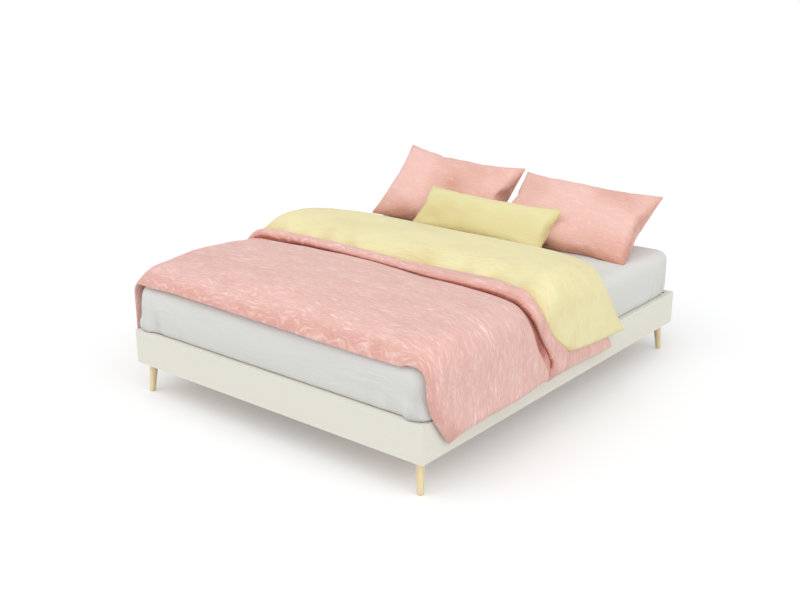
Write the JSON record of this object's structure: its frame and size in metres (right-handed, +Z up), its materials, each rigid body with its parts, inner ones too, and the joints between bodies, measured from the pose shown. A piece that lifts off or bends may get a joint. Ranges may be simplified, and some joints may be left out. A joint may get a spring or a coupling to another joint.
{
  "type": "upholstered storage bed",
  "caption": "Low upholstered bed base on splayed legs, with bedding on a sprung platform that lifts on gas struts over a storage well.",
  "frame": {"origin": "on the floor, under the middle of the bed", "axes": "+Z up, +Y towards the pillows, +X to the right as seen from the foot end"},
  "size_m": [1.7616, 2.04, 0.88],
  "materials": {
    "upholstery": "plain cream woven cover",
    "board": "raw board",
    "pine": "planed pine",
    "leg_wood": "pale lacquered wood",
    "glide": "matte",
    "zinc": "zinc plated",
    "frame_paint": "black powder coat",
    "pad_rubber": "matte",
    "slat_birch": "birch veneer",
    "holder_plastic": "matte",
    "strut_steel": "ground and polished",
    "strut_paint": "satin black",
    "mattress_ticking": "knitted ticking",
    "sheet_white": "smooth white cotton",
    "duvet_pink": "crinkled cotton",
    "pillow_pink": "crinkled cotton",
    "cushion_cream": "smooth cotton"
  },
  "bodies": {
    "base": {"base_cover": "upholstery", "side_board_left": "board", "side_board_right": "board", "foot_end_board": "board", "head_end_board": "board", "corner_block_foot_left": "pine", "corner_block_foot_right": "pine", "corner_block_head_left": "pine", "corner_block_head_right": "pine", "leg_foot_left": "leg_wood", "leg_foot_right": "leg_wood", "leg_head_left": "leg_wood", "leg_head_right": "leg_wood", "centre_leg_foot": "leg_wood", "centre_leg_head": "leg_wood", "leg_glides": "glide", "leg_inserts": "zinc", "leg_bolts": "zinc", "centre_beam": "frame_paint", "beam_hangers": "frame_paint", "floor_battens": "pine", "storage_floor_left": "board", "storage_floor_right": "board", "corner_brackets": "zinc", "hinge_bracket_left": "frame_paint", "hinge_bracket_right": "frame_paint", "hinge_pin_left": "zinc", "hinge_pin_right": "zinc", "rest_brackets": "frame_paint", "rest_pads": "pad_rubber", "side_screws": "zinc", "end_screws": "zinc"},
    "platform": {"platform_side_tube_left": "frame_paint", "platform_side_tube_right": "frame_paint", "platform_foot_tube": "frame_paint", "platform_head_tube": "frame_paint", "platform_spine_tube": "frame_paint", "platform_cross_tube_left": "frame_paint", "platform_cross_tube_right": "frame_paint", "slats_left": "slat_birch", "slats_right": "slat_birch", "slat_holders_side": "holder_plastic", "slat_holders_centre": "holder_plastic", "hinge_arm_left": "frame_paint", "hinge_arm_right": "frame_paint", "strut_bracket_left": "frame_paint", "strut_bracket_right": "frame_paint", "platform_bolts": "zinc", "mattress": "mattress_ticking", "fitted_sheet": "sheet_white", "duvet": "duvet_pink", "pillow_left": "pillow_pink", "pillow_right": "pillow_pink", "lumbar_cushion": "cushion_cream"},
    "strut_rod_left": {"strut_rod_left": "strut_steel"},
    "strut_rod_right": {"strut_rod_right": "strut_steel"},
    "strut_cylinder_left": {"strut_cylinder_left": "strut_paint"},
    "strut_cylinder_right": {"strut_cylinder_right": "strut_paint"}
  },
  "joints": [
    {"name": "platform_lift", "type": "hinge", "parent": "base", "child": "platform", "pos_m": [0, 0.975, 0.288], "axis": [-1, 0, 0], "range_deg": [0, 38]},
    {"name": "strut_swing_left", "type": "hinge", "parent": "base", "child": "strut_rod_left", "pos_m": [-0.772, 0.915, 0.19], "axis": [-1, 0, 0], "range_deg": [0, 37.08]},
    {"name": "strut_slide_left", "type": "slide", "parent": "strut_rod_left", "child": "strut_cylinder_left", "axis": [0, -0.9545, 0.2982], "range_m": [0, 0.0752]},
    {"name": "strut_swing_right", "type": "hinge", "parent": "base", "child": "strut_rod_right", "pos_m": [0.772, 0.915, 0.19], "axis": [-1, 0, 0], "range_deg": [0, 37.08]},
    {"name": "strut_slide_right", "type": "slide", "parent": "strut_rod_right", "child": "strut_cylinder_right", "axis": [0, -0.9545, 0.2982], "range_m": [0, 0.0752]}
  ],
  "couplings": [
    {"joint": "strut_swing_left", "follows": "platform_lift", "ratio": 0.9746},
    {"joint": "strut_slide_left", "follows": "platform_lift", "m_per_rad": 0.1128},
    {"joint": "strut_swing_right", "follows": "platform_lift", "ratio": 0.9746},
    {"joint": "strut_slide_right", "follows": "platform_lift", "m_per_rad": 0.1128}
  ]
}
